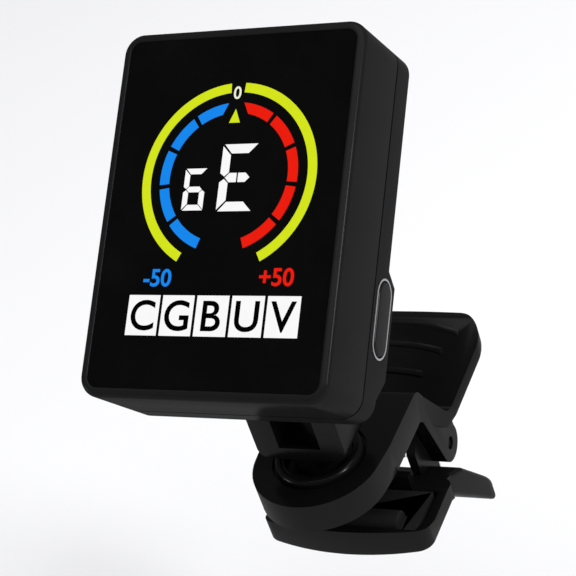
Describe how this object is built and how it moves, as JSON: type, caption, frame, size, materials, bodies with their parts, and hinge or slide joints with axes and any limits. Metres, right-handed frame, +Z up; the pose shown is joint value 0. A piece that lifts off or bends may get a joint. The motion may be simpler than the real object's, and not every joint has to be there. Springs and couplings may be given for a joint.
{
  "type": "clip on tuner",
  "caption": "Clip-on instrument tuner: a flat display head that tilts on a forked neck, which swivels on a spring clip with a ribbed finger paddle.",
  "frame": {"origin": "where the swivel axis meets the face of the upper jaw's rubber pad, which lies on the headstock", "axes": "+Z up along the swivel axis, X across the clip, +Y back to the handles"},
  "size_m": [0.0409, 0.0627, 0.1008],
  "materials": {
    "case_plastic": "fine matte texture",
    "clip_plastic": "satin",
    "lens_glass": "polished black",
    "display": "smooth",
    "white_plastic": "satin",
    "board": "solder mask",
    "ribbon": "film",
    "chip": "moulded",
    "cell_foil": "foil",
    "button_plastic": "satin",
    "bright_metal": "polished",
    "steel": "plain",
    "brass": "plain",
    "rubber": "matte"
  },
  "bodies": {
    "clip": {"upper_jaw": "clip_plastic", "swivel_ring": "clip_plastic", "disc_cover": "clip_plastic", "upper_pad": "rubber", "pivot_pin": "steel", "jaw_spring": "bright_metal"},
    "lower_jaw": {"lower_jaw": "clip_plastic", "lower_pad": "rubber", "spring_lower_leg": "bright_metal"},
    "neck": {"neck_fork": "clip_plastic", "tilt_pin": "steel", "tilt_washers": "white_plastic", "swivel_washer": "steel", "swivel_screw": "steel"},
    "head": {"front_shell": "case_plastic", "rear_cover": "case_plastic", "screen_lens": "lens_glass", "lcd_panel": "display", "backlight_frame": "white_plastic", "display_ribbon": "ribbon", "main_board": "board", "control_chip": "chip", "battery_cell": "cell_foil", "charge_port": "steel", "switch_board": "board", "tact_switch": "steel", "piezo_sensor": "brass", "button_ring": "bright_metal", "case_screws": "steel"},
    "button": {"mode_button": "button_plastic"}
  },
  "joints": [
    {"name": "jaw_open", "type": "hinge", "parent": "clip", "child": "lower_jaw", "pos_m": [0, 0.0221, -0.0105], "axis": [1, 0, 0], "range_deg": [0, 35], "stiffness_Nm_per_rad": 0.15, "springref_deg": -34.38},
    {"name": "neck_swivel", "type": "hinge", "parent": "clip", "child": "neck", "pos_m": [0, 0, 0.0065], "axis": [0, 0, 1], "continuous": true},
    {"name": "head_tilt", "type": "hinge", "parent": "neck", "child": "head", "pos_m": [0, 0, 0.0275], "axis": [1, 0, 0], "range_deg": [-45, 52]},
    {"name": "button_press", "type": "slide", "parent": "head", "child": "button", "axis": [-1, 0, 0], "range_m": [0, 0.0005], "stiffness_N_per_m": 2000, "springref_m": -0.0003}
  ]
}
